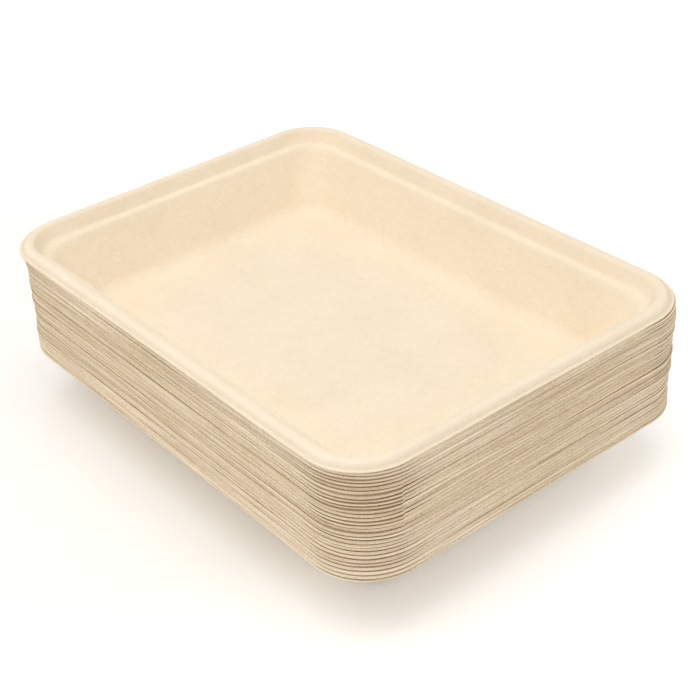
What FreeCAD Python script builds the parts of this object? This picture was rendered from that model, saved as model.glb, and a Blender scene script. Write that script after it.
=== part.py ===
import FreeCAD, Part
import math
import os

# A stack of equal food trays, each moulded from plant fibre in one piece.
# Every tray has a flat floor, a wall in two steps with a narrow ledge between them, and a rolled rim
# that ends in a flat lip. The trays sit inside each other, so only the top one can be looked into.
# The origin is on the surface that the lowest tray stands on, under the middle of the stack.
# The long side of the trays runs along X.

# Stack
tray_count = 30
nest_clearance = 0.10      # free distance between two nested trays, square to their steepest wall

# One tray in plan, at the outer edge of its lip
tray_length = 305.0
tray_width = 224.0
corner_radius = 32.0

# Moulded sheet and its bends; a bend radius is on the inner side of the bend
sheet = 0.75
lip_bend_radius = 1.8      # from the flat lip up into the rim
crown_bend_radius = 0.85   # from the rim's outer face over to its top
rim_bend_radius = 0.85     # from the rim's top down into the tray
step_bend_radius = 1.0     # from the upper wall out to the ledge
ledge_bend_radius = 0.55   # from the ledge down to the lower wall
floor_bend_radius = 12.0   # from the lower wall to the floor

# Section of one tray
tray_depth = 41.0          # from the rim's top down to the floor inside
lip_width = 1.6
rim_rise = 2.75            # from the lip up to the rim's top
rim_slope = 45.0           # of the rim's outer face, in degrees from level
crown_width = 4.1          # flat top of the rim
ledge_drop = 8.0           # from the rim's top down to the ledge
ledge_width = 4.2
upper_draft = 24.0         # of the wall above the ledge, in degrees from upright
lower_draft = 28.0         # of the wall below the ledge, in degrees from upright
corner_widening = 2.2      # the lower wall's corners are rounder by this than a line parallel to the lip

# Heights above the underside of a tray's own floor
floor_top = sheet
crown_top = floor_top + tray_depth
lip_top = crown_top - rim_rise
ledge_top = crown_top - ledge_drop
ledge_under = ledge_top - sheet

# Distances inwards from the outer edge of the lip
crown_outer = lip_width + rim_rise / math.tan(math.radians(rim_slope))
crown_inner = crown_outer + crown_width
ledge_outer = crown_inner + ledge_drop * math.tan(math.radians(upper_draft))
ledge_inner = ledge_outer + ledge_width
ledge_middle = (ledge_outer + ledge_inner) / 2

wall_corner_radius = corner_radius - ledge_inner + corner_widening
quarter_turn = 90

# A nested tray rises until its steepest face is the clearance away from the one below
steepest_draft = math.radians(min(upper_draft, lower_draft, quarter_turn - rim_slope))
nest_pitch = (sheet + nest_clearance) / math.sin(steepest_draft)

same_place = 1e-3          # two edges nearer than this are taken as one


def wall_inset(height, distance_below):
    """Inset of the lower wall at a height; distance_below is measured square to the wall's upper side."""
    draft = math.radians(lower_draft)
    return ledge_inner + (ledge_top - height) * math.tan(draft) - distance_below / math.cos(draft)


def shifted_line(points, distance):
    """The same bent line moved square to its runs, to the lower side, by a distance."""
    runs = []
    for (x0, z0), (x1, z1) in zip(points[:-1], points[1:]):
        length = math.hypot(x1 - x0, z1 - z0)
        along = ((x1 - x0) / length, (z1 - z0) / length)
        square = (along[1] * distance, -along[0] * distance)
        runs.append(((x0 + square[0], z0 + square[1]), (x1 + square[0], z1 + square[1]), along))
    moved = [runs[0][0]]
    for (_, end, along), (start, _, next_along) in zip(runs[:-1], runs[1:]):
        turn = along[0] * next_along[1] - along[1] * next_along[0]
        step = ((start[0] - end[0]) * next_along[1] - (start[1] - end[1]) * next_along[0]) / turn
        moved.append((end[0] + along[0] * step, end[1] + along[1] * step))
    moved.append(runs[-1][1])
    return moved


def section_point(inset, height):
    """A point of the rim's section, drawn beside the upright axis of a tray's corner."""
    return FreeCAD.Vector(corner_radius - inset, 0, height)


def rounded_line(points, radii):
    """Edges along a bent line whose inner corners are rounded, each by its own radius."""
    corners = [section_point(*point) for point in points]
    edges = []
    start = corners[0]
    for before, corner, after, radius in zip(corners[:-2], corners[1:-1], corners[2:], radii):
        back = (before - corner).normalize()
        ahead = (after - corner).normalize()
        half_angle = back.getAngle(ahead) / 2
        first = corner + back * (radius / math.tan(half_angle))
        last = corner + ahead * (radius / math.tan(half_angle))
        bisector = (back + ahead).normalize()
        middle = corner + bisector * (radius / math.sin(half_angle) - radius)
        edges.append(Part.LineSegment(start, first).toShape())
        edges.append(Part.Arc(first, middle, last).toShape())
        start = last
    edges.append(Part.LineSegment(start, corners[-1]).toShape())
    return edges


def rim_section():
    """Closed section of the lip, the rim, the upper wall and the outer half of the ledge."""
    upper = [(0, lip_top), (lip_width, lip_top), (crown_outer, crown_top), (crown_inner, crown_top),
             (ledge_outer, ledge_top), (ledge_middle, ledge_top)]
    under = shifted_line(upper, sheet)
    upper_radii = [lip_bend_radius, crown_bend_radius + sheet, rim_bend_radius + sheet, step_bend_radius]
    under_radii = [lip_bend_radius + sheet, crown_bend_radius, rim_bend_radius, step_bend_radius + sheet]
    edges = rounded_line(upper, upper_radii) + rounded_line(under, under_radii)
    edges.append(Part.LineSegment(section_point(*upper[0]), section_point(*under[0])).toShape())
    edges.append(Part.LineSegment(section_point(*upper[-1]), section_point(*under[-1])).toShape())
    return Part.Face(Part.Wire(Part.__sortEdges__(edges)))


def rim_ring():
    """The rim carried round the tray: a straight length and a quarter turn for each side."""
    half_x = tray_length / 2 - corner_radius
    half_y = tray_width / 2 - corner_radius
    centres = [(half_x, half_y), (-half_x, half_y), (-half_x, -half_y), (half_x, -half_y)]
    lengths = [2 * half_y, 2 * half_x, 2 * half_y, 2 * half_x]
    upright = FreeCAD.Vector(0, 0, 1)
    section = rim_section()
    pieces = []
    for number, ((x, y), length) in enumerate(zip(centres, lengths)):
        corner = section.revolve(FreeCAD.Vector(0, 0, 0), upright, quarter_turn)
        side = section.extrude(FreeCAD.Vector(0, -length, 0))
        for piece in (corner, side):
            piece.rotate(FreeCAD.Vector(0, 0, 0), upright, quarter_turn * number)
            piece.translate(FreeCAD.Vector(x, y, 0))
            pieces.append(piece)
    return pieces


def well(floor_height, ledge_height, distance_below, corner_bend, floor_bend):
    """Block with four sloping sides, bent over between its sides and at its bottom."""
    half = {}
    for height in (floor_height, ledge_height):
        inset = wall_inset(height, distance_below)
        half[height] = (tray_length / 2 - inset, tray_width / 2 - inset)
    (low_x, low_y), (high_x, high_y) = half[floor_height], half[ledge_height]
    block = Part.makeWedge(-low_x, floor_height, -low_y, -high_y, -high_x,
                           low_x, ledge_height, low_y, high_y, high_x)
    block.rotate(FreeCAD.Vector(0, 0, 0), FreeCAD.Vector(1, 0, 0), quarter_turn)
    block = block.makeFillet(corner_bend, [edge for edge in block.Edges if not is_level(edge)])
    return block.makeFillet(floor_bend, [edge for edge in block.Edges if is_level(edge, floor_height)])


def is_level(shape, height=None):
    """Whether an edge or face lies level, and at the given height if there is one."""
    box = shape.BoundBox
    return box.ZLength < same_place and (height is None or abs(box.ZMin - height) < same_place)


def bowl_space(floor_height, ledge_height, slab_top, distance_below, corner_bend, floor_bend, ledge_bend):
    """Everything inside the ledge's middle line that lies above one side of the moulded sheet."""
    half_x = tray_length / 2 - ledge_middle
    half_y = tray_width / 2 - ledge_middle
    slab = Part.makeBox(2 * half_x, 2 * half_y, slab_top - ledge_height)
    slab.translate(FreeCAD.Vector(-half_x, -half_y, ledge_height))
    slab = slab.makeFillet(corner_radius - ledge_middle, [edge for edge in slab.Edges if not is_level(edge)])
    outer_lines = [face.OuterWire for face in slab.Faces if is_level(face, ledge_height)]
    space = slab.fuse(well(floor_height, ledge_height, distance_below, corner_bend, floor_bend))
    space = space.removeSplitter()
    inner_line = [edge for edge in space.Edges
                  if is_level(edge, ledge_height) and edge.distToShape(outer_lines[0])[0] > same_place]
    return space.makeFillet(ledge_bend, inner_line)


def bowl():
    """The floor, the lower wall and the inner half of the ledge."""
    outside = bowl_space(0, ledge_under, ledge_top, sheet, wall_corner_radius + sheet,
                         floor_bend_radius + sheet, ledge_bend_radius)
    inside = bowl_space(floor_top, ledge_top, crown_top, 0, wall_corner_radius,
                        floor_bend_radius, ledge_bend_radius + sheet)
    return outside.cut(inside)


def tray():
    """One whole tray, standing on its own floor."""
    shape = bowl().multiFuse(rim_ring()).removeSplitter()
    return shape.Solids[0]


os.makedirs("parts", exist_ok=True)
one_tray = tray()
for position in range(tray_count):
    nested = one_tray.copy()
    nested.translate(FreeCAD.Vector(0, 0, position * nest_pitch))
    nested.exportStep("parts/tray_%02d.step" % (position + 1))
print("pitch", nest_pitch, "height", crown_top + (tray_count - 1) * nest_pitch)
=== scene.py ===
import math

import bpy
import numpy as np
from mathutils import Matrix, Vector


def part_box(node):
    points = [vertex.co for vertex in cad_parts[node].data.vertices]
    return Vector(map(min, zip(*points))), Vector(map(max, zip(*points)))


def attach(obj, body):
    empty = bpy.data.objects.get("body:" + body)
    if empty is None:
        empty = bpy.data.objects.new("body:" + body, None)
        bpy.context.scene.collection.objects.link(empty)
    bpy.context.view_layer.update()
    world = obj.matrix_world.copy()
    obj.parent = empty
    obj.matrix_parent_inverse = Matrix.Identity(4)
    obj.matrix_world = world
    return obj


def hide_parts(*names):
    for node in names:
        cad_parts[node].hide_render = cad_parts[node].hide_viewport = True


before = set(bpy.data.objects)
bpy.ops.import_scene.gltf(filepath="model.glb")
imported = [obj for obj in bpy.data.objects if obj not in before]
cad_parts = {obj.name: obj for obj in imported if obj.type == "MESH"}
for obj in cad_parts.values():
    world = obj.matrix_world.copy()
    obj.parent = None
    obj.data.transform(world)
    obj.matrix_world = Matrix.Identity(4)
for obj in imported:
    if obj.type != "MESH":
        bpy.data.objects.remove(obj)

bl_info = {
    "name": "Stack of pulp trays",
    "version": (1, 0, 0),
    "blender": (4, 5, 0),
    "location": "3D View > Sidebar > Pulp trays",
    "description": "Nested moulded fibre trays with trimmed, uneven lips, and a pale studio for them",
    "category": "Object",
}

MM = 0.001
PICTURE_WIDTH = 700
SENSOR_WIDTH = 36.0

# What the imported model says: the trays from the lowest to the top one, their plan and how far they nest
TRAYS = sorted(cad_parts)
TOP = len(TRAYS) - 1
LOWEST_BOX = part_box(TRAYS[0])
SECOND_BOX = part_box(TRAYS[1])
TRAY_LENGTH = LOWEST_BOX[1].x - LOWEST_BOX[0].x
TRAY_WIDTH = LOWEST_BOX[1].y - LOWEST_BOX[0].y
TRAY_HEIGHT = LOWEST_BOX[1].z - LOWEST_BOX[0].z
NEST_PITCH = SECOND_BOX[0].z - LOWEST_BOX[0].z

# The four corners in the order in which a lip runs: far right, far left, near left, near right
CORNER_SIGNS = np.array([(1, 1), (-1, 1), (-1, -1), (1, -1)], float)
FAR_RIGHT, NEAR_LEFT, NEAR_RIGHT = 0, 2, 3

# How much wider each bend is on the under side, in sheet thicknesses
UNDER_WIDENING = np.array([1, -1, 1, -1, -1, 0])

# Fine steps along a section line: to find its nearest point, and to average over it
SEARCH_STEPS = 4000
AVERAGE_STEPS = 1200

# Where the ledge gets more points, from its middle
LEDGE_POINTS = np.array([-8.0, -6.0, -4.5, -3.4, 0.0, 3.4, 4.5]) * MM

# How far round the ledge's middle the line is rounded off, in reaches of the rounding
SOFTENED_REACHES = 3.4

# Where the flat floor starts, beyond the end of its bend, and the width of the strip along the cut edge,
# past which covered trays take the colour painted as shade in the gaps between the lips
FLOOR_START = 1 * MM
STRIP_WIDTH = 0.45 * MM

# The places of the cut edge's points, in sheet thicknesses below its upper side
CUT_SHARES = np.array([0.1, 0.5, 0.9])

# How far in the sheet follows the lip's edge: up and down in lip widths, in and out in distances from the
# edge to the rim's top, and the powers with which that fades
EDGE_REACH = 1.1
EDGE_FALL = 0.7
TRIM_REACH = 1.06
TRIM_FALL = 0.8

# How soft the ledge is everywhere, and how much softer at each corner
LEAST_SOFTENING = 0.3
CORNER_SOFTENING = (0.7, 0.3, 0.7, 0.7)
SOFTENING_REACH = 46 * MM

# How far the gaps open at the corners other than the near one, and how far the openings reach
FAR_OPENINGS = (0.5, 0.35, 0.15, 0.0)
FAR_OPENING_REACH = 32 * MM
NEAR_OPENING_REACH = 28 * MM

# The tray above which the gaps are widest, how many trays share that, and the share that the others open by
WIDEST_TRAY = 18
WIDEST_SPREAD = 6
LEAST_OPENING = 0.72

# Random lines along a lip, as weight, waves and fall: of the gaps, of their height and of the trim
GAP_LINES = ((0.7, 12, 0.6), (0.3, 60, 0.3))
LEVEL_LINES = ((0.75, 9, 0.7), (0.2, 60, 0.3))
TRIM_LINES = ((0.8, 8, 0.7), (0.4, 40, 0.35))

# How much whole gaps may differ, the unevenness that a shut gap keeps, and the limits of gap and height
GAP_OWN = 0.7
SHUT_UNEVENNESS = 0.15
GAP_LIMITS = (0.04 * MM, 1.25 * MM)
LEVEL_LIMIT = 0.3 * MM

# How far the wide gap below the top lip and the lowest lips' droop reach, and over how many trays it fades
RIM_GAP_REACH = 150 * MM
DROOP_REACH = 50 * MM
DROOP_TRAYS = 4

# Where the lips jump: this far before the end of the near corner's bend, within this width. The jump fades
# along the side, is largest at one tray, is shared by those round it, and shuts the gaps by this share.
SEAM_BACK = 6 * MM
SEAM_WIDTH = 1.2 * MM
SEAM_FADE = 50 * MM
SEAM_TRAY = 17
SEAM_SPREAD = 6.5
SEAM_CLOSING = 0.55

# Limits of the trim, and the share of a trim step by which most lips stand back
TRIM_LIMITS = (0.12 * MM, 2 * MM)
STANDING_BACK = 0.25

# The tray that stands out most at the far right corner, how many share that, and how far round the corner
BULGE_TRAY = 25
BULGE_SPREAD = 3.5
BULGE_REACH = 45 * MM

# How far the top tray's lip wanders down, as one random line of this many waves and this fall
TOP_LIP_WANDER = 0.12 * MM
TOP_LIP_WAVES = 14
TOP_LIP_FALL = 0.6

# Slight waves of the top tray: how many, how long, how far their phases spread, how high, and how far it
# sinks for them, in wave heights
WAVES = 9
WAVE_LENGTHS = (22 * MM, 70 * MM)
WAVE_PHASES = 6.28
WAVE_HEIGHT = 0.09 * MM
WAVE_SINK = 1.3

# Seeds of the random lines
GAP_SEED = 900
TRIM_SEED = 400
TOP_LIP_SEED = 77
WAVE_SEED = 5

# The direction in plan in which the lips below the top tray lean out of line with it, and how far they do,
# for these trays counted from the lowest
LEAN_DIRECTION = np.array([0.61, 0.79])
LEAN_TRAYS = (0, 5, 8, 11, 15, 24, 28)
LEAN_LENGTHS = np.array([0.7, 0.6, 1.0, 1.55, 1.6, 1.55, 1.2]) * MM

# Tones of painted light and shade on the top tray's upper side at these distances from the lip's edge:
# painted shade in the hollow at the rim's foot and a painted highlight on the crown's outer bend
RIM_INSETS = np.array([0.0, 0.55, 1.1, 1.7, 2.2, 2.8, 3.6, 4.2, 4.6, 5.7]) * MM
RIM_PAINTED_LIGHT = (1.0, 1.0, 0.98, 0.943, 0.965, 1.03, 1.073, 1.062, 1.04, 1.0)

# How far a piece's own map is shifted for each metre that it stands higher, so that no two look alike
MAP_SHIFT = 17

# Slots of a tray's finishes; the last is a darker colour painted as shade in the gaps between the lips
PRESSED, SCREEN, CUT, PAINTED_GAP_SHADE = range(4)

# Noises of the fibre, each as features a metre, detail and roughness
CLOUDS = (28, 2, 0.5)
CLUMPS = (190, 3, 0.6)
GRAINS = (900, 3, 0.65)

# A noise's middle, what stretches its usual range to about one either way, and two shares of the relief
NOISE_MIDDLE = 0.5
NOISE_STRETCH = 4.0
CLUMP_SHARE = 0.6
GRAIN_SHARE = 0.4

# Dark specks: places for one in each metre, their radius and soft edge as a share of a place, and how rare
# and how strong they are
SPECK_PLACES = 130
SPECK_EDGE = (0.035, 0.06)
SPECK_RARITY = (0.93, 0.95)
SPECK_STRENGTH = 0.5

# The layers of the cut edges and their thin light streaks, which are painted highlights of lip edges
# catching the light: how each noise is squeezed, its settings, its range and its tones
LAYERS = ((10.0, 10.0, 420.0), (1.0, 4, 0.65), (0.25, 0.75), (0.8, 1.2))
PAINTED_HIGHLIGHT_STREAKS = ((13.0, 13.0, 1150.0), (1.0, 1, 0.5), (0.53, 0.72), (0.97, 1.3))

# How the squeezed noises are turned, so that their cells line up with no side of the stack
NOISE_TURN = (0.5, 0.7, 0.4)

# Painted light: the cut edges are lighter towards the floor and just below the top tray, where shade falls
# on
# them: between these heights, by these tones
LOW_PAINTED_LIGHT = ((36 * MM, 55 * MM), (1.1, 1.0))
HIGH_PAINTED_LIGHT = ((90 * MM, 96 * MM), (1.0, 1.06))

# Dry fibre: how matt it is, the stretch of its pattern along the lips, the depth of its relief, and the
# gamma that makes darker tones warmer
FIBRE_ROUGHNESS = 0.92
FIBRE_SPECULAR = 0.25
EDGE_STRETCH = (0.7, 2.0, 1.0)
RELIEF_DEPTH = 0.8 * MM
TONE_RANGE = (0.8, 1.2)
TONE_GAMMA = (1.25, 0.8)

# Numbers of the colour sockets of a mix node: its two inputs and its output
MIX_FIRST, MIX_SECOND, MIX_RESULT = 6, 7, 2

# The lamp overhead
LAMP_PLACE = (0.08, -0.36, 1.6)
LAMP_AIM = (0, 0, 0.05)
LAMP_SIZE = 1.5

# The floor: half its width, its colour, the point that its brightening is measured from, and where it
# begins and ends. The brightening is painted light that fades the stack's shadow away from that point.
FLOOR_HALF = 3.0
FLOOR_COLOUR = (0.88, 0.866, 0.832, 1)
LIFT_CENTRE = (-0.14, -0.06, 0)
LIFT_RANGE = (0.2, 0.37)

# Nothing nearer to the camera is drawn
CLIP_START = 0.01


def length_size(name, description, millimetres):
    """A length that a user can change, given in millimetres and kept in metres."""
    return bpy.props.FloatProperty(name=name, description=description, default=millimetres * MM,
                                   unit="LENGTH", precision=5)


def plain_number(name, description, value):
    """A share or strength that a user can change."""
    return bpy.props.FloatProperty(name=name, description=description, default=value)


def angle_size(name, description, degrees):
    """An angle that a user can change, given in degrees."""
    return bpy.props.FloatProperty(name=name, description=description, default=math.radians(degrees),
                                   subtype="ANGLE")


def colour_choice(name, description, colour):
    """A colour that a user can change, in linear red, green and blue."""
    return bpy.props.FloatVectorProperty(name=name, description=description, default=colour,
                                         subtype="COLOR", size=3, min=0.0, max=1.0)


class TraySection(bpy.types.PropertyGroup):
    """Sizes of one tray's section, the same as those of its solid."""
    sheet: length_size("Sheet", "Thickness of the moulded sheet", 0.75)
    corner_radius: length_size("Corner radius", "Radius of the lip's corners in plan", 32.0)
    lip_width: length_size("Lip width", "Flat lip outside the rim", 1.6)
    rim_rise: length_size("Rim rise", "From the lip up to the rim's top", 2.75)
    rim_slope: angle_size("Rim slope", "Slope of the rim's outer face from level", 45.0)
    crown_width: length_size("Crown width", "Flat top of the rim", 4.1)
    ledge_drop: length_size("Ledge drop", "From the rim's top down to the ledge", 8.0)
    ledge_width: length_size("Ledge width", "Flat ledge between the two walls", 4.2)
    upper_draft: angle_size("Upper draft", "Lean of the wall above the ledge", 24.0)
    lower_draft: angle_size("Lower draft", "Lean of the wall below the ledge", 28.0)
    lip_bend: length_size("Lip bend", "Bend from the lip up into the rim", 1.8)
    crown_bend: length_size("Crown bend", "Bends at both sides of the rim's top", 2.5)
    step_bend: length_size("Step bend", "Bend from the upper wall out to the ledge", 1.0)
    ledge_bend: length_size("Ledge bend", "Bend from the ledge down to the lower wall", 1.3)
    softening: length_size("Softening", "Reach over which the ledge is rounded off where it softens", 2.6)
    edge_round: length_size("Edge rounding", "Rounding of the cut edge", 0.1)
    floor_bend: length_size("Floor bend", "Bend from the lower wall to the floor", 12.0)


class LipLook(bpy.types.PropertyGroup):
    """How uneven the trimmed lips are."""
    open_gap: length_size("Open gap", "Gap between two lips at the near corner", 1.1)
    shut_gap: length_size("Shut gap", "Gap between two lips along the sides", 0.1)
    gap_spread: length_size("Gap spread", "How much the gaps change along the lips", 0.34)
    level_spread: length_size("Level spread", "How far the lips wander up and down", 0.2)
    trim_depth: length_size("Trim depth", "How far most lips are trimmed back", 0.55)
    trim_spread: length_size("Trim spread", "How far the trimmed edges wander in and out", 0.15)
    trim_step: length_size("Trim step", "How far the few lips that stand out do so", 0.5)
    corner_bulge: length_size("Corner bulge", "How far the upper lips stand out at one far corner", 0.8)
    edge_fuzz: length_size("Edge fuzz", "Fine unevenness of the torn fibre at the edges", 0.02)
    seam_step: length_size("Seam step", "How far the lips jump near the end of the near corner", 0.85)
    lip_reach: length_size("Lip reach", "How far the top lip stands out on its near short side", 0.35)
    lip_sag: length_size("Lip sag", "How far the top lip hangs there", 0.45)
    rim_gap: length_size("Rim gap", "How much wider the gap is below the top lip's long side", 0.75)
    corner_droop: length_size("Corner droop", "How far the lowest lip hangs at the near corner", 1.25)
    lean: plain_number("Lean", "How much the lower lips stand out of line, 1 as measured", 1.0)


class PulpColours(bpy.types.PropertyGroup):
    """Colours of the moulded fibre."""
    pressed: colour_choice("Pressed side", "Colour of the smooth upper side", (0.945, 0.812, 0.625))
    screen: colour_choice("Screen side", "Colour of the rougher under side", (0.90, 0.76, 0.56))
    cut: colour_choice("Cut edge", "Colour of the trimmed edges", (0.87, 0.705, 0.497))
    # The lip strip colour is painted shade: a darker colour for the gaps between the lips
    lip: colour_choice("Lip strip", "Colour of the hidden strip along the cut edges", (0.73, 0.56, 0.37))
    speck: colour_choice("Specks", "Colour of the few dark fibres", (0.36, 0.24, 0.13))


class StudioLook(bpy.types.PropertyGroup):
    """Camera and light."""
    azimuth: angle_size("Azimuth", "Direction of the camera round the stack", 52.4202)
    elevation: angle_size("Elevation", "Height of the camera above the horizon", 32.8138)
    roll: angle_size("Roll", "Tilt of the picture", -3.7428)
    distance: plain_number("Distance", "Distance of the camera, in tray lengths", 2.5552)
    aside: plain_number("Aside", "Shift of the camera to its right, in tray lengths", 0.0344)
    raised: plain_number("Raised", "Shift of the camera along its own up, in tray lengths", -0.1405)
    focal_pixels: plain_number("Focal length", "Focal length in pixels of a 700 pixel picture", 1493.503)
    sky: plain_number("Sky", "Strength of the even light from all sides", 0.575)
    softbox: plain_number("Softbox", "Power of the large lamp overhead, in watts", 14.0)
    floor_lift: plain_number("Floor lift", "White added to the floor for the camera, near the stack", 0.18)
    far_lift: plain_number("Far lift", "White added to the floor for the camera, further away", 0.45)


def unit(vector):
    """The vector scaled to a length of one."""
    return vector / np.linalg.norm(vector)


def moved_corners(corners, distance):
    """Corners of a bent line moved square to its runs.

    Each goes along the sum of its two runs' normals, divided by one plus their product, so that both runs
    end up that distance away."""
    along = np.diff(corners, axis=0)
    along /= np.linalg.norm(along, axis=1)[:, None]
    square = np.stack([-along[:, 1], along[:, 0]], axis=1)
    first = np.vstack([square[:1], square])
    second = np.vstack([square, square[-1:]])
    share = 1 + (first * second).sum(axis=1, keepdims=True)
    return corners + distance * (first + second) / share


def bent_line(corners, radii, steps):
    """Points along a bent line with round bends.

    A bend's arc is the turn of the radius from its first touching point to its last, for even steps of t:
    (sin((1 - t) a) first + sin(t a) last) / sin(a) about its centre."""
    parts = [corners[:1]]
    for before, corner, after, radius, count in zip(corners[:-2], corners[1:-1], corners[2:], radii, steps):
        back = unit(before - corner)
        ahead = unit(after - corner)
        half = math.acos(back @ ahead) / 2
        centre = corner + unit(back + ahead) * radius / math.sin(half)
        first = corner + back * radius / math.tan(half) - centre
        last = corner + ahead * radius / math.tan(half) - centre
        turn = math.pi - 2 * half
        share = np.linspace(0, 1, count)[:, None]
        arc = (np.sin((1 - share) * turn) * first + np.sin(share * turn) * last) / math.sin(turn)
        parts.append(centre + arc)
    parts.append(corners[-1:])
    return np.vstack(parts)


def line_lengths(line):
    """Length along a line of points, from its first point to each."""
    return np.concatenate([[0], np.cumsum(np.linalg.norm(np.diff(line, axis=0), axis=1))])


def spots_along(line, lengths, wanted):
    """The spots of a line at the wanted lengths along it."""
    return np.stack([np.interp(wanted, lengths, line[:, axis]) for axis in (0, 1)], axis=1)


def denser_line(line, middle):
    """The line with more points on both sides of the point that is nearest to the middle."""
    lengths = line_lengths(line)
    fine = np.linspace(0, lengths[-1], SEARCH_STEPS)
    spots = spots_along(line, lengths, fine)
    centre = fine[np.linalg.norm(spots - middle, axis=1).argmin()]
    wanted = np.sort(np.concatenate([lengths, centre + LEDGE_POINTS]))
    return spots_along(line, lengths, wanted)


def softened(line, middle, reach):
    """The line rounded off near the middle.

    Each point goes to the average of its surroundings, weighted by a bell with that reach, and the further
    it is from the middle, the less it moves, along a bell with a flat top."""
    lengths = line_lengths(line)
    fine = np.linspace(0, lengths[-1], AVERAGE_STEPS)
    spots = spots_along(line, lengths, fine)
    weight = np.exp(-((lengths[:, None] - fine) / reach) ** 2)
    average = weight @ spots / weight.sum(axis=1, keepdims=True)
    from_middle = np.linalg.norm(line - middle, axis=1)
    return line + (average - line) * np.exp(-(from_middle / (SOFTENED_REACHES * reach)) ** 6)[:, None]


class Section:
    """One tray's closed section from its floor, up the upper side, round the lip's edge and back.

    Each point has an inset from the lip's edge, a height, a share in which it follows the lip's edge up and
    down, one in which it follows it in and out, and a sign that says which side of the sheet it is on: 1
    above, -1 below, and in between on the cut edge. A second line has the ledge rounded off, for the places
    where the ledge is soft. A covered section has fewer points, because the next tray hides its upper
    side."""

    def __init__(self, sizes, steps, floor_rings, covered):
        crown_outer = sizes.lip_width + sizes.rim_rise / math.tan(sizes.rim_slope)
        crown_inner = crown_outer + sizes.crown_width
        ledge_outer = crown_inner + sizes.ledge_drop * math.tan(sizes.upper_draft)
        ledge_inner = ledge_outer + sizes.ledge_width
        ledge_height = TRAY_HEIGHT - sizes.ledge_drop
        wall_foot = ledge_inner + (ledge_height - sizes.sheet) * math.tan(sizes.lower_draft)
        bend_reach = sizes.floor_bend * math.tan((math.pi / 2 - sizes.lower_draft) / 2)
        floor_edge = wall_foot + bend_reach
        lip_height = TRAY_HEIGHT - sizes.rim_rise
        upper_corners = np.array([
            (floor_edge + FLOOR_START, sizes.sheet), (wall_foot, sizes.sheet), (ledge_inner, ledge_height),
            (ledge_outer, ledge_height), (crown_inner, TRAY_HEIGHT), (crown_outer, TRAY_HEIGHT),
            (sizes.lip_width, lip_height), (sizes.edge_round, lip_height)])
        under_corners = moved_corners(upper_corners, sizes.sheet)
        upper_bends = np.array([sizes.floor_bend, sizes.ledge_bend, sizes.step_bend,
                                sizes.crown_bend, sizes.crown_bend, sizes.lip_bend])
        under_bends = upper_bends + sizes.sheet * UNDER_WIDENING
        lines = []
        for corners, bends in ((upper_corners, upper_bends), (under_corners, under_bends)):
            line = bent_line(corners, bends, steps)
            ledge = corners[2:4].mean(axis=0)
            if not covered:
                line = denser_line(line, ledge)
            lines += [line, softened(line, ledge, sizes.softening)]
        upper, upper_soft, under, under_soft = lines
        upper = np.insert(upper, -1, (STRIP_WIDTH, lip_height), axis=0)
        upper_soft = np.insert(upper_soft, -1, (STRIP_WIDTH, lip_height), axis=0)
        cut = np.stack([np.zeros(len(CUT_SHARES)), lip_height - sizes.sheet * CUT_SHARES], axis=1)
        self.points = np.vstack([upper, cut, under[::-1]])
        self.soft_points = np.vstack([upper_soft, cut, under_soft[::-1]])
        self.side = np.concatenate([np.ones(len(upper)), 1 - 2 * CUT_SHARES, -np.ones(len(under))])
        inset = self.points[:, 0]
        self.edge_share = np.clip(1 - inset / (EDGE_REACH * sizes.lip_width), 0, 1) ** EDGE_FALL
        self.trim_share = np.clip(1 - inset / (TRIM_REACH * crown_outer), 0, 1) ** TRIM_FALL
        # Painted light and shade: the top tray's upper side takes a tone by its inset near the rim
        rim_light_painted = (self.side == 1) & (not covered)
        self.painted_rim_light = np.where(rim_light_painted, np.interp(inset, RIM_INSETS, RIM_PAINTED_LIGHT), 1.0)
        self.is_cut = np.concatenate([np.zeros(len(upper)), np.ones(len(cut)), np.zeros(len(under))])
        self.sharp_rings = np.array([len(upper), len(upper) + len(cut) - 1]) + floor_rings
        # The lip's under side, and on covered trays the upper side past the strip, take the colour painted
        # as shade in the gaps
        in_gap_shade = (inset < crown_outer) & (self.is_cut == 0)
        in_gap_shade &= (self.side < 0) | (covered & (inset >= STRIP_WIDTH))
        self.in_gap_shade = in_gap_shade
        bend_start = wall_foot - bend_reach * math.sin(sizes.lower_draft)
        bend_end_shrink = ledge_inner + bend_reach * (1 + math.sin(sizes.lower_draft))
        radius_insets = [0, ledge_inner, bend_start, floor_edge]
        radius_shrinks = np.array([0, ledge_inner, ledge_inner, bend_end_shrink])
        self.radii = np.interp(inset, radius_insets, sizes.corner_radius - radius_shrinks)
        self.floor_rings = floor_rings
        self.sheet = sizes.sheet


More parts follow.
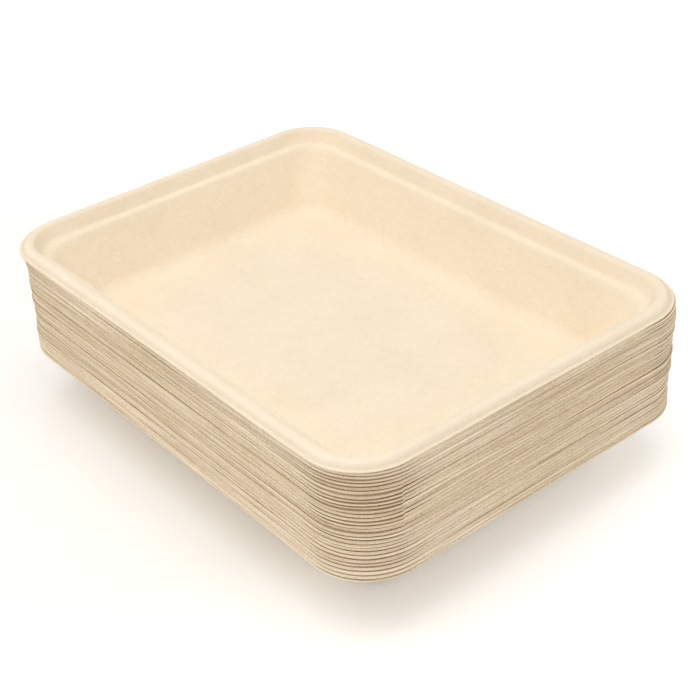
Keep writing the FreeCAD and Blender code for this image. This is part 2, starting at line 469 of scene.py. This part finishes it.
class Lap:
    """Places round a tray, the other way round than a clock.

    Each has the signs of the corner centre that it hangs on, which run evenly from one corner to the next
    along a side, and the direction that it faces."""

    def __init__(self, sizes, corner_steps, long_steps, short_steps):
        radius = sizes.corner_radius
        self.corner_length = radius * math.pi / 2
        self.side_lengths = [TRAY_LENGTH - 2 * radius, TRAY_WIDTH - 2 * radius]
        centres = []
        turns = []
        places = []
        done = 0.0
        for number in range(4):
            here = CORNER_SIGNS[number]
            after = CORNER_SIGNS[(number + 1) % 4]
            start = number * math.pi / 2
            bend = np.linspace(start, start + math.pi / 2, corner_steps, endpoint=False)
            if number == NEAR_RIGHT:
                seam = start + math.pi / 2 - SEAM_BACK / radius
                bend = np.sort(np.append(bend, [seam, seam + SEAM_WIDTH / radius]))
            side_steps = (long_steps, short_steps)[number % 2]
            share = np.linspace(0, 1, side_steps, endpoint=False)[:, None]
            centres += [np.repeat(here[None], len(bend), axis=0), here + (after - here) * share]
            turns += [bend, np.full(len(share), start + math.pi / 2)]
            side_length = self.side_lengths[number % 2]
            places.append(done + (bend - start) * radius)
            places.append(done + self.corner_length + share[:, 0] * side_length)
            done += self.corner_length + side_length
        self.signs = np.vstack(centres)
        angles = np.concatenate(turns)
        self.facing = np.stack([np.cos(angles), np.sin(angles)], axis=1)
        self.places = np.concatenate(places)
        self.total = done

    def corner_middle(self, number):
        """Place of a corner's middle along the lap."""
        before = sum(self.corner_length + self.side_lengths[index % 2] for index in range(number))
        return before + self.corner_length / 2

    def past_seam(self):
        """Distance of every point past the place where the lips jump, negative before it."""
        return self.places - self.corner_middle(NEAR_RIGHT) - self.corner_length / 2 + SEAM_BACK

    def away(self, place):
        """Distance of every point from a place along the lap, the shorter way round."""
        gap = np.abs(self.places - place)
        return np.minimum(gap, self.total - gap)

    def wander(self, waves, fall, random):
        """A smooth closed random line of unit spread: a sum of cosines of k turns a lap, for k up to waves.

        Each has a random phase and a random weight that falls as k to the power of minus fall."""
        turns = np.arange(1, waves + 1)[:, None]
        phase = random.uniform(0, 2 * math.pi, (waves, 1))
        weight = random.normal(size=(waves, 1)) * turns ** -fall
        line = (weight * np.cos(2 * math.pi * turns * self.places / self.total + phase)).sum(axis=0)
        return line / math.sqrt((weight ** 2).sum() / 2)

    def wanders(self, lines, random):
        """Random lines added up, each given by its weight, its waves and its fall."""
        return sum(weight * self.wander(waves, fall, random) for weight, waves, fall in lines)

    def facing_right(self):
        """How far every place faces the near short side, from nothing to one."""
        return np.clip(self.facing[:, 0], 0, 1)


def corner_bell(lap, number, reach):
    """A bell of height one with a flat top round one corner's middle."""
    return np.exp(-(lap.away(lap.corner_middle(number)) / reach) ** 4)


def corner_bells(lap, shares, reach):
    """A value round the lap: a bell of the given height round each corner's middle."""
    return np.max([share * corner_bell(lap, number, reach) for number, share in enumerate(shares)], axis=0)


def lip_gaps(lap, look, number):
    """Height and half width of the gap above a tray's lip, both measured from an even stack.

    The gaps open at the corners, most of all at the near one. The lowest lips hang a little there, and past
    it the lips in the middle of the stack jump up together and come back along the side."""
    random = np.random.default_rng(GAP_SEED + number)
    opening = np.maximum(corner_bells(lap, FAR_OPENINGS, FAR_OPENING_REACH),
                         corner_bell(lap, NEAR_RIGHT, NEAR_OPENING_REACH))
    past = lap.past_seam()
    in_band = math.exp(-((number - SEAM_TRAY) / SEAM_SPREAD) ** 4)
    jump = np.clip(past / SEAM_WIDTH, 0, 1)
    widest = math.exp(-((number - WIDEST_TRAY) / WIDEST_SPREAD) ** 2)
    opening = opening * (LEAST_OPENING + (1 - LEAST_OPENING) * widest) * (1 - SEAM_CLOSING * in_band * jump)
    gap = look.shut_gap + (look.open_gap - look.shut_gap) * opening
    change = lap.wanders(GAP_LINES, random) + random.uniform(-GAP_OWN, GAP_OWN)
    gap = gap + look.gap_spread * (SHUT_UNEVENNESS + (1 - SHUT_UNEVENNESS) * opening) * change
    if number == TOP - 1:
        facing_near = np.clip(-lap.facing[:, 1], 0, 1)
        gap = gap + look.rim_gap * facing_near * corner_bell(lap, NEAR_LEFT, RIM_GAP_REACH)
    level = np.clip(look.level_spread * lap.wanders(LEVEL_LINES, random), -LEVEL_LIMIT, LEVEL_LIMIT)
    level -= look.corner_droop * math.exp(-number / DROOP_TRAYS) * corner_bell(lap, NEAR_RIGHT, DROOP_REACH)
    level += look.seam_step * in_band * jump * np.exp(-np.clip(past, 0, None) / SEAM_FADE)
    return level, np.clip(gap, *GAP_LIMITS) / 2


def lip_trim(lap, look, number):
    """How far a lip is trimmed back round the lap, and less than nothing where it stands out."""
    random = np.random.default_rng(TRIM_SEED + number)
    slow = look.trim_spread * lap.wanders(TRIM_LINES, random)
    own = look.trim_step * (STANDING_BACK - random.uniform() ** 3)
    fuzz = look.edge_fuzz * random.normal(size=len(lap.places))
    if number == TOP:
        return np.abs(slow / 2 + fuzz) - look.lip_reach * lap.facing_right()
    near_bulge = math.exp(-((number - BULGE_TRAY) / BULGE_SPREAD) ** 2)
    bulge = look.corner_bulge * corner_bell(lap, FAR_RIGHT, BULGE_REACH) * near_bulge
    return np.clip(look.trim_depth + slow + own + fuzz, *TRIM_LIMITS) - bulge


def lip_heights(section, lap, number, look):
    """How far a lip's upper and under side go up from their even places, each by half of a gap."""
    gap_middle = NEST_PITCH / 2 - section.sheet / 2
    if number == TOP:
        random = np.random.default_rng(TOP_LIP_SEED)
        above = -TOP_LIP_WANDER * np.abs(lap.wander(TOP_LIP_WAVES, TOP_LIP_FALL, random))
        above = above - look.lip_sag * lap.facing_right()
    else:
        level, half_gap = lip_gaps(lap, look, number)
        above = gap_middle + level - half_gap
    if number == 0:
        below = -look.corner_droop * corner_bell(lap, NEAR_RIGHT, DROOP_REACH)
    else:
        level, half_gap = lip_gaps(lap, look, number - 1)
        below = level + half_gap - gap_middle
    return above, below


def with_floor(grid, rings):
    """The grid with rings added at both ends, which shrink the last outline to its middle."""
    shrink = np.linspace(1, 0, rings + 2)[1:-1][::-1]
    flat = np.array([1, 1, 0])
    top_rings = grid[0] * (shrink[:, None, None] * flat + (1 - flat))
    bottom_rings = grid[-1] * (shrink[::-1, None, None] * flat + (1 - flat))
    return np.concatenate([top_rings, grid, bottom_rings])


def tray_surface(section, lap, number, look):
    """The closed surface of one tray on the grid of places round the lap by points along the section.

    A point stands at sign * (half size - inset - radius) + facing * radius in plan, with the corner radius
    of its inset, and at the section's height. Near the lip's edge its inset grows by the trim, it leans out
    of line with the top tray and its height goes to the gap above or below the lip. The ledge softens
    towards the corners."""
    above, below = lip_heights(section, lap, number, look)
    soft = LEAST_SOFTENING + corner_bells(lap, CORNER_SOFTENING, SOFTENING_REACH)
    line = section.points[:, None] + (section.soft_points - section.points)[:, None] * soft[:, None]
    share = section.edge_share[:, None]
    trim_share = section.trim_share[:, None]
    inset = line[..., 0] + lip_trim(lap, look, number) * trim_share
    blend = (1 + section.side[:, None]) / 2
    height = line[..., 1] + share * (above * blend + below * (1 - blend))
    radius = section.radii[:, None]
    half = (TRAY_LENGTH / 2, TRAY_WIDTH / 2)
    plan = [lap.signs[:, axis] * (half[axis] - inset - radius) + lap.facing[:, axis] * radius
            for axis in (0, 1)]
    grid = np.stack([*plan, height], axis=-1)
    if number < TOP:
        lean = look.lean * np.interp(number, LEAN_TRAYS, LEAN_LENGTHS)
        grid[..., :2] += lean * LEAN_DIRECTION * trim_share[..., None]
    if section.floor_rings:
        grid = with_floor(grid, section.floor_rings)
    return grid


def pressed_waves(grid):
    """Slight waves of the moulded sheet, both of its sides alike: sines across the plan added up."""
    random = np.random.default_rng(WAVE_SEED)
    lift = np.zeros(grid.shape[:2])
    for wave in range(WAVES):
        across = random.normal(size=2)
        pitch = random.uniform(*WAVE_LENGTHS)
        step = (grid[..., 0] * across[0] + grid[..., 1] * across[1]) / np.linalg.norm(across) / pitch
        lift += np.sin(2 * math.pi * step + random.uniform(0, WAVE_PHASES)) * pitch / WAVE_LENGTHS[1]
    return lift / math.sqrt(WAVES)


def grid_faces(rings, around):
    """Vertex numbers of the faces of a closed grid: quads between neighbouring rings, and a fan at each end
    to the two points that follow the grid's own."""
    ring = np.arange(rings - 1)[:, None] * around
    step = np.arange(around)
    after = (step + 1) % around
    quads = np.stack([ring + step, ring + after, ring + around + after, ring + around + step], axis=-1)
    last = (rings - 1) * around
    first_middle = rings * around
    first_fan = np.stack([np.full(around, first_middle), after, step], axis=1)
    last_fan = np.stack([np.full(around, first_middle + 1), last + step, last + after], axis=1)
    return quads.reshape(-1, 4), first_fan, last_fan


def face_finishes(section, around):
    """The slot of every face, by its side, by whether it is on its cut, and by whether it is on the lip,
    where the gaps between the lips get painted shade.
    """
    added = section.floor_rings
    cut = np.concatenate([np.zeros(added), section.is_cut, np.zeros(added)])
    above = np.concatenate([np.ones(added), section.side, -np.ones(added)])
    in_gap_shade = np.concatenate([np.zeros(added, bool), section.in_gap_shade, np.zeros(added, bool)])
    cut_quad = np.maximum(cut[:-1], cut[1:]) > 0
    lower_quad = (above[:-1] + above[1:]) < 0
    gap_shade_quad = in_gap_shade[:-1] & in_gap_shade[1:]
    kind = np.where(cut_quad, CUT, np.where(gap_shade_quad, PAINTED_GAP_SHADE, np.where(lower_quad, SCREEN, PRESSED)))
    return np.concatenate([np.repeat(kind, around), np.full(around, PRESSED), np.full(around, SCREEN)])


def mark_cut(mesh, section, around):
    """Marks the two rings of edges along the cut as sharp, and gives every point its painted rim light and
    shade.
    """
    ends = np.empty(len(mesh.edges) * 2, np.int32)
    mesh.edges.foreach_get("vertices", ends)
    ring_ends = ends.reshape(-1, 2) // around
    sharp = (ring_ends[:, 0] == ring_ends[:, 1]) & np.isin(ring_ends[:, 0], section.sharp_rings)
    mesh.attributes.new("sharp_edge", "BOOLEAN", "EDGE").data.foreach_set("value", sharp)
    added = np.ones(section.floor_rings)
    tone = np.append(np.repeat(np.concatenate([added, section.painted_rim_light, added]), around), [1, 1])
    mesh.attributes.new("painted_rim_light", "FLOAT", "POINT").data.foreach_set("value", tone.astype(np.float32))


def add_map(mesh, grid, lap, quad_count):
    """The piece's own map: across it the length along the lap, and up it the length along the section. A
    face that closes the lap reads the lap's full length instead of nothing."""
    rings, around = grid.shape[:2]
    vertex = np.empty(len(mesh.loops), np.int32)
    mesh.loops.foreach_get("vertex_index", vertex)
    column = np.where(vertex < rings * around, vertex % around, 0)
    wraps = np.zeros(len(vertex), bool)
    quad_columns = column[:quad_count * 4].reshape(-1, 4)
    closes = (quad_columns == 0) & (quad_columns.max(axis=1, keepdims=True) == around - 1)
    wraps[:quad_count * 4] = closes.ravel()
    across = np.where(wraps, lap.total, lap.places[column])
    run = line_lengths(grid[:, 0]) + MAP_SHIFT * grid[0, 0, 2]
    ring_of = np.append(np.repeat(np.arange(rings), around), [0, rings - 1])
    spots = np.stack([across, run[ring_of[vertex]]], axis=1)
    layer = mesh.uv_layers.new(name="along")
    layer.data.foreach_set("uv", spots.astype(np.float32).ravel())


def grid_mesh(name, grid, section, lap):
    """A closed mesh from a grid of points, with its finishes, its sharp edges, its painted rim light and
    shade, and its map.
    """
    rings, around = grid.shape[:2]
    middles = np.array([grid[0].mean(axis=0), grid[-1].mean(axis=0)])
    points = np.vstack([grid.reshape(-1, 3), middles])
    quads, first_fan, last_fan = grid_faces(rings, around)
    corners = np.concatenate([quads.ravel(), first_fan.ravel(), last_fan.ravel()])
    sizes = np.concatenate([np.full(len(quads), 4), np.full(2 * around, 3)])
    starts = np.concatenate([[0], np.cumsum(sizes)[:-1]])
    mesh = bpy.data.meshes.new(name)
    mesh.vertices.add(len(points))
    mesh.vertices.foreach_set("co", points.astype(np.float32).ravel())
    mesh.loops.add(len(corners))
    mesh.loops.foreach_set("vertex_index", corners.astype(np.int32))
    mesh.polygons.add(len(sizes))
    mesh.polygons.foreach_set("loop_start", starts.astype(np.int32))
    mesh.polygons.foreach_set("loop_total", sizes.astype(np.int32))
    mesh.polygons.foreach_set("material_index", face_finishes(section, around).astype(np.int32))
    mesh.polygons.foreach_set("use_smooth", np.ones(len(sizes), bool))
    mesh.update(calc_edges=True)
    mesh.validate()
    mark_cut(mesh, section, around)
    add_map(mesh, grid, lap, len(quads))
    return mesh


def new_object(name, data):
    """An object that shows the data, in the scene."""
    thing = bpy.data.objects.new(name, data)
    bpy.context.scene.collection.objects.link(thing)
    return thing


def new_material(name, roughness, specular):
    """A material with its node tree and its shader."""
    material = bpy.data.materials.new(name)
    material.use_nodes = True
    tree = material.node_tree
    shader = tree.nodes["Principled BSDF"]
    shader.inputs["Roughness"].default_value = roughness
    shader.inputs["Specular IOR Level"].default_value = specular
    return material, tree, shader


def new_group(name, inputs, outputs):
    """A shader node group with named inputs and outputs of the given kinds."""
    group = bpy.data.node_groups.new(name, "ShaderNodeTree")
    for direction, sockets in (("INPUT", inputs), ("OUTPUT", outputs)):
        for label, kind in sockets:
            group.interface.new_socket(label, in_out=direction, socket_type=kind)
    return group, group.nodes.new("NodeGroupInput"), group.nodes.new("NodeGroupOutput")


def noise_node(tree, source, scale, detail, roughness):
    """A noise texture that reads a vector; the scale is in features a metre."""
    node = tree.nodes.new("ShaderNodeTexNoise")
    node.inputs["Scale"].default_value = scale
    node.inputs["Detail"].default_value = detail
    node.inputs["Roughness"].default_value = roughness
    tree.links.new(source, node.inputs["Vector"])
    return node.outputs["Fac"]


def math_node(tree, operation, first, second):
    """One step of arithmetic on two sockets or numbers."""
    node = tree.nodes.new("ShaderNodeMath")
    node.operation = operation
    for socket, value in zip(node.inputs, (first, second)):
        if isinstance(value, (int, float)):
            socket.default_value = value
        else:
            tree.links.new(value, socket)
    return node.outputs[0]


def remap_node(tree, source, old_range, new_range):
    """Stretches a range of a value over another range and holds it there."""
    node = tree.nodes.new("ShaderNodeMapRange")
    for label, value in zip(("From Min", "From Max", "To Min", "To Max"), (*old_range, *new_range)):
        node.inputs[label].default_value = value
    tree.links.new(source, node.inputs["Value"])
    return node.outputs["Result"]


def mapping_node(tree, source, scale, rotation=(0, 0, 0)):
    """A vector scaled along its three directions, then turned."""
    node = tree.nodes.new("ShaderNodeMapping")
    node.inputs["Scale"].default_value = scale
    node.inputs["Rotation"].default_value = rotation
    tree.links.new(source, node.inputs["Vector"])
    return node.outputs["Vector"]


def speck_mask(tree, vector):
    """Where the dark specks are: round spots at the middles of a few of the cells of a cell texture."""
    cells = tree.nodes.new("ShaderNodeTexVoronoi")
    cells.inputs["Scale"].default_value = SPECK_PLACES
    tree.links.new(vector, cells.inputs["Vector"])
    near = remap_node(tree, cells.outputs["Distance"], SPECK_EDGE, (1, 0))
    parts = tree.nodes.new("ShaderNodeSeparateColor")
    tree.links.new(cells.outputs["Color"], parts.inputs["Color"])
    rare = remap_node(tree, parts.outputs["Red"], SPECK_RARITY, (0, SPECK_STRENGTH))
    return math_node(tree, "MULTIPLY", near, rare)


def fibre_group():
    """Felted plant fibre: cloudy tone, clumps and hair-fine fibres, and a few dark specks.

    The tone is one plus each noise, centred and stretched, times its amount."""
    number = "NodeSocketFloat"
    inputs = [("Vector", "NodeSocketVector"), ("Cloud", number), ("Clump", number), ("Grain", number)]
    outputs = [("Tone", number), ("Speck", number), ("Height", number)]
    group, source, target = new_group("felted_fibre", inputs, outputs)
    vector = source.outputs["Vector"]
    cloud = noise_node(group, vector, *CLOUDS)
    clump = noise_node(group, vector, *CLUMPS)
    grain = noise_node(group, vector, *GRAINS)
    tone = 1.0
    for amount, noise in (("Cloud", cloud), ("Clump", clump), ("Grain", grain)):
        centred = math_node(group, "SUBTRACT", noise, NOISE_MIDDLE)
        stretched = math_node(group, "MULTIPLY", centred, NOISE_STRETCH)
        part = math_node(group, "MULTIPLY", stretched, source.outputs[amount])
        tone = math_node(group, "ADD", part, tone)
    clump_height = math_node(group, "MULTIPLY", clump, CLUMP_SHARE)
    grain_height = math_node(group, "MULTIPLY", grain, GRAIN_SHARE)
    height = math_node(group, "ADD", clump_height, grain_height)
    for label, value in (("Tone", tone), ("Speck", speck_mask(group, vector)), ("Height", height)):
        group.links.new(value, target.inputs[label])
    return group


def layer_tone_and_painted_light(tree):
    """Tone that changes from lip to lip and slowly along each: a noise squeezed together in height, with a
    few thin light streaks that are painted highlights, and painted light that makes it a little lighter
    towards the floor and below the top tray, where shade falls."""
    place = tree.nodes.new("ShaderNodeTexCoord").outputs["Object"]
    parts = tree.nodes.new("ShaderNodeSeparateXYZ")
    tree.links.new(place, parts.inputs["Vector"])
    tone = 1.0
    for ranges in (LOW_PAINTED_LIGHT, HIGH_PAINTED_LIGHT):
        tone = math_node(tree, "MULTIPLY", tone, remap_node(tree, parts.outputs["Z"], *ranges))
    for squeeze, noise, *ranges in (LAYERS, PAINTED_HIGHLIGHT_STREAKS):
        value = noise_node(tree, mapping_node(tree, place, squeeze, NOISE_TURN), *noise)
        tone = math_node(tree, "MULTIPLY", tone, remap_node(tree, value, *ranges))
    return tone


def toned_colour(tree, colour, tone):
    """A colour scaled by a tone, with a gamma that makes darker tones warmer."""
    scaled = tree.nodes.new("ShaderNodeVectorMath")
    scaled.operation = "SCALE"
    scaled.inputs[0].default_value = colour
    tree.links.new(tone, scaled.inputs["Scale"])
    warmed = tree.nodes.new("ShaderNodeGamma")
    tree.links.new(scaled.outputs["Vector"], warmed.inputs["Color"])
    tree.links.new(remap_node(tree, tone, TONE_RANGE, TONE_GAMMA), warmed.inputs["Gamma"])
    return warmed.outputs["Color"]


def mixed_colour(tree, share, first, second):
    """The colour of a socket, which goes over to a fixed colour by a share."""
    node = tree.nodes.new("ShaderNodeMix")
    node.data_type = "RGBA"
    tree.links.new(share, node.inputs["Factor"])
    tree.links.new(first, node.inputs[MIX_FIRST])
    node.inputs[MIX_SECOND].default_value = (*second, 1)
    return node.outputs[MIX_RESULT]


def pulp_material(name, group, colour, speck, cloud, clump, grain, relief, follow_edge=False):
    """Dry moulded fibre: the tone of the felted fibre on its colour, times the painted rim light and shade,
    dark specks and a soft fine relief.

    On the cut edge the fibre runs along the lip, so the pattern there is stretched along the piece's own
    map, and its tone changes from lip to lip, with painted highlight streaks and painted light near the
    floor and below the top tray."""
    material, tree, shader = new_material(name, FIBRE_ROUGHNESS, FIBRE_SPECULAR)
    vector = tree.nodes.new("ShaderNodeTexCoord").outputs["UV" if follow_edge else "Object"]
    if follow_edge:
        vector = mapping_node(tree, vector, EDGE_STRETCH)
    fibre = tree.nodes.new("ShaderNodeGroup")
    fibre.node_tree = group
    tree.links.new(vector, fibre.inputs["Vector"])
    for label, value in (("Cloud", cloud), ("Clump", clump), ("Grain", grain)):
        fibre.inputs[label].default_value = value
    painted_rim_light = tree.nodes.new("ShaderNodeAttribute")
    painted_rim_light.attribute_name = "painted_rim_light"
    tone = math_node(tree, "MULTIPLY", fibre.outputs["Tone"], painted_rim_light.outputs["Fac"])
    if follow_edge:
        tone = math_node(tree, "MULTIPLY", tone, layer_tone_and_painted_light(tree))
    toned = toned_colour(tree, colour, tone)
    tree.links.new(mixed_colour(tree, fibre.outputs["Speck"], toned, speck), shader.inputs["Base Color"])
    bump = tree.nodes.new("ShaderNodeBump")
    bump.inputs["Strength"].default_value = relief
    bump.inputs["Distance"].default_value = RELIEF_DEPTH
    tree.links.new(fibre.outputs["Height"], bump.inputs["Height"])
    tree.links.new(bump.outputs["Normal"], shader.inputs["Normal"])
    return material


def pulp_materials(colours):
    """The finishes of a tray in slot order, made once for all trays: upper side, under side, cut edge and
    a darker colour painted as shade in the gaps between the lips, along the cut edge."""
    names = ("pressed_pulp", "screen_pulp", "cut_pulp", "painted_gap_shade_pulp")
    if names[0] in bpy.data.materials:
        return [bpy.data.materials[name] for name in names]
    group = fibre_group()
    return [
        pulp_material(names[PRESSED], group, colours.pressed, colours.speck,
                      cloud=0.022, clump=0.018, grain=0.024, relief=0.9),
        pulp_material(names[SCREEN], group, colours.screen, colours.speck,
                      cloud=0.02, clump=0.02, grain=0.03, relief=0.08),
        pulp_material(names[CUT], group, colours.cut, colours.speck,
                      cloud=0.03, clump=0.06, grain=0.19, relief=0.1, follow_edge=True),
        pulp_material(names[PAINTED_GAP_SHADE], group, colours.lip, colours.speck,
                      cloud=0.03, clump=0.03, grain=0.04, relief=0.08),
    ]


def add_tray(name, number, section, lap, settings):
    """One tray piece in place of its solid."""
    grid = tray_surface(section, lap, number, settings.lips)
    if number == TOP:
        grid[..., 2] += WAVE_HEIGHT * (pressed_waves(grid) - WAVE_SINK)
    grid[..., 2] += number * NEST_PITCH
    mesh = grid_mesh(name, grid, section, lap)
    for material in pulp_materials(settings.colours):
        mesh.materials.append(material)
    piece = new_object(name, mesh)
    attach(piece, "root")
    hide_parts(TRAYS[number])


class STACK_OT_nested_trays(bpy.types.Operator):
    """Builds every tray below the top one; mostly their lips show"""
    bl_idname = "stack.nested_trays"
    bl_label = "Nested trays"

    def execute(self, context):
        settings = context.scene.pulp_stack
        section = Section(settings.section, steps=(3, 2, 2, 2, 2, 3), floor_rings=0, covered=True)
        lap = Lap(settings.section, corner_steps=22, long_steps=88, short_steps=60)
        for number, node in enumerate(TRAYS[:TOP]):
            add_tray("pulp_" + node, number, section, lap, settings)
        return {"FINISHED"}


class STACK_OT_top_tray(bpy.types.Operator):
    """Builds the top tray, whose whole inside shows"""
    bl_idname = "stack.top_tray"
    bl_label = "Top tray"

    def execute(self, context):
        settings = context.scene.pulp_stack
        section = Section(settings.section, steps=(14, 6, 5, 6, 6, 6), floor_rings=8, covered=False)
        lap = Lap(settings.section, corner_steps=46, long_steps=140, short_steps=98)
        add_tray("pulp_" + TRAYS[TOP], TOP, section, lap, settings)
        return {"FINISHED"}


def camera_pose(studio):
    """Place and turn of the camera: back along the sight line, then aside and up in its own frame."""
    back = Vector((math.sin(studio.azimuth) * math.cos(studio.elevation),
                   -math.cos(studio.azimuth) * math.cos(studio.elevation), math.sin(studio.elevation)))
    level = (-back).cross(Vector((0, 0, 1))).normalized()
    upright = level.cross(-back)
    right = level * math.cos(studio.roll) + upright * math.sin(studio.roll)
    up = upright * math.cos(studio.roll) - level * math.sin(studio.roll)
    place = (back * studio.distance + right * studio.aside + up * studio.raised) * TRAY_LENGTH
    turn = Matrix((right, up, back)).transposed().to_4x4()
    return place, turn


def add_camera(settings):
    """The camera, aimed from the middle of the top tray's lip."""
    studio = settings.studio
    data = bpy.data.cameras.new("camera")
    data.sensor_width = SENSOR_WIDTH
    data.lens = SENSOR_WIDTH * studio.focal_pixels / PICTURE_WIDTH
    data.clip_start = CLIP_START
    camera = new_object("camera", data)
    place, turn = camera_pose(studio)
    lip_height = TRAY_HEIGHT - settings.section.rim_rise - settings.section.sheet
    aim = Vector((0, 0, TOP * NEST_PITCH + lip_height))
    camera.matrix_world = Matrix.Translation(aim + place) @ turn
    bpy.context.scene.camera = camera


def add_softbox(watts):
    """A large square lamp overhead."""
    data = bpy.data.lights.new("overhead", "AREA")
    data.size = LAMP_SIZE
    data.energy = watts
    lamp = new_object("overhead", data)
    lamp.location = LAMP_PLACE
    lamp.rotation_euler = (Vector(LAMP_AIM) - Vector(LAMP_PLACE)).to_track_quat("-Z", "Y").to_euler()


def white_for_camera(tree):
    """A value that is 1 for camera, glossy and transmission rays and 0 for the rays that light things."""
    path = tree.nodes.new("ShaderNodeLightPath")
    either = math_node(tree, "MAXIMUM", path.outputs["Is Camera Ray"], path.outputs["Is Glossy Ray"])
    return math_node(tree, "MAXIMUM", either, path.outputs["Is Transmission Ray"])


def add_sky(strength):
    """Even light from all sides, seen as plain white."""
    world = bpy.data.worlds.new("sky")
    bpy.context.scene.world = world
    world.use_nodes = True
    tree = world.node_tree
    background = tree.nodes["Background"]
    background.inputs["Color"].default_value = (1, 1, 1, 1)
    seen = remap_node(tree, white_for_camera(tree), (0, 1), (strength, 1))
    tree.links.new(seen, background.inputs["Strength"])


def add_floor(near_lift, far_lift):
    """A wide white floor that keeps the stack's shadow. The white added for the camera grows with the
    distance from a point below the stack: painted light that fades the shadow further out."""
    corners = [(FLOOR_HALF * x, FLOOR_HALF * y, 0) for x, y in ((-1, -1), (1, -1), (1, 1), (-1, 1))]
    mesh = bpy.data.meshes.new("floor")
    mesh.from_pydata(corners, [], [(0, 1, 2, 3)])
    floor = new_object("floor", mesh)
    material, tree, shader = new_material("white_floor", roughness=1.0, specular=0.0)
    shader.inputs["Base Color"].default_value = FLOOR_COLOUR
    shader.inputs["Emission Color"].default_value = (1, 1, 1, 1)
    away = tree.nodes.new("ShaderNodeVectorMath")
    away.operation = "DISTANCE"
    away.inputs[1].default_value = LIFT_CENTRE
    tree.links.new(tree.nodes.new("ShaderNodeTexCoord").outputs["Object"], away.inputs[0])
    lift = remap_node(tree, away.outputs["Value"], LIFT_RANGE, (near_lift, far_lift))
    seen = math_node(tree, "MULTIPLY", white_for_camera(tree), lift)
    tree.links.new(seen, shader.inputs["Emission Strength"])
    mesh.materials.append(material)


class STACK_OT_studio(bpy.types.Operator):
    """Sets up the floor, the light and the camera"""
    bl_idname = "stack.studio"
    bl_label = "Studio"

    def execute(self, context):
        settings = context.scene.pulp_stack
        studio = settings.studio
        context.scene.view_settings.view_transform = "Standard"
        add_sky(studio.sky)
        add_softbox(studio.softbox)
        add_floor(studio.floor_lift, studio.far_lift)
        add_camera(settings)
        return {"FINISHED"}


class PulpStack(bpy.types.PropertyGroup):
    """Everything that can be set for the stack."""
    section: bpy.props.PointerProperty(type=TraySection)
    lips: bpy.props.PointerProperty(type=LipLook)
    colours: bpy.props.PointerProperty(type=PulpColours)
    studio: bpy.props.PointerProperty(type=StudioLook)


class STACK_PT_panel(bpy.types.Panel):
    """Lists the steps that build the stack"""
    bl_label = "Pulp trays"
    bl_idname = "STACK_PT_panel"
    bl_space_type = "VIEW_3D"
    bl_region_type = "UI"
    bl_category = "Pulp trays"

    def draw(self, context):
        for operator in OPERATORS:
            self.layout.operator(operator.bl_idname)


OPERATORS = (STACK_OT_nested_trays, STACK_OT_top_tray, STACK_OT_studio)
CLASSES = (TraySection, LipLook, PulpColours, StudioLook, PulpStack, *OPERATORS, STACK_PT_panel)


def register():
    for each in CLASSES:
        bpy.utils.register_class(each)
    bpy.types.Scene.pulp_stack = bpy.props.PointerProperty(type=PulpStack)


def unregister():
    del bpy.types.Scene.pulp_stack
    for each in reversed(CLASSES):
        bpy.utils.unregister_class(each)


def main():
    register()
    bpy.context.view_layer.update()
    bpy.ops.stack.nested_trays()
    bpy.ops.stack.top_tray()
    bpy.ops.stack.studio()


if __name__ == "__main__":
    main()
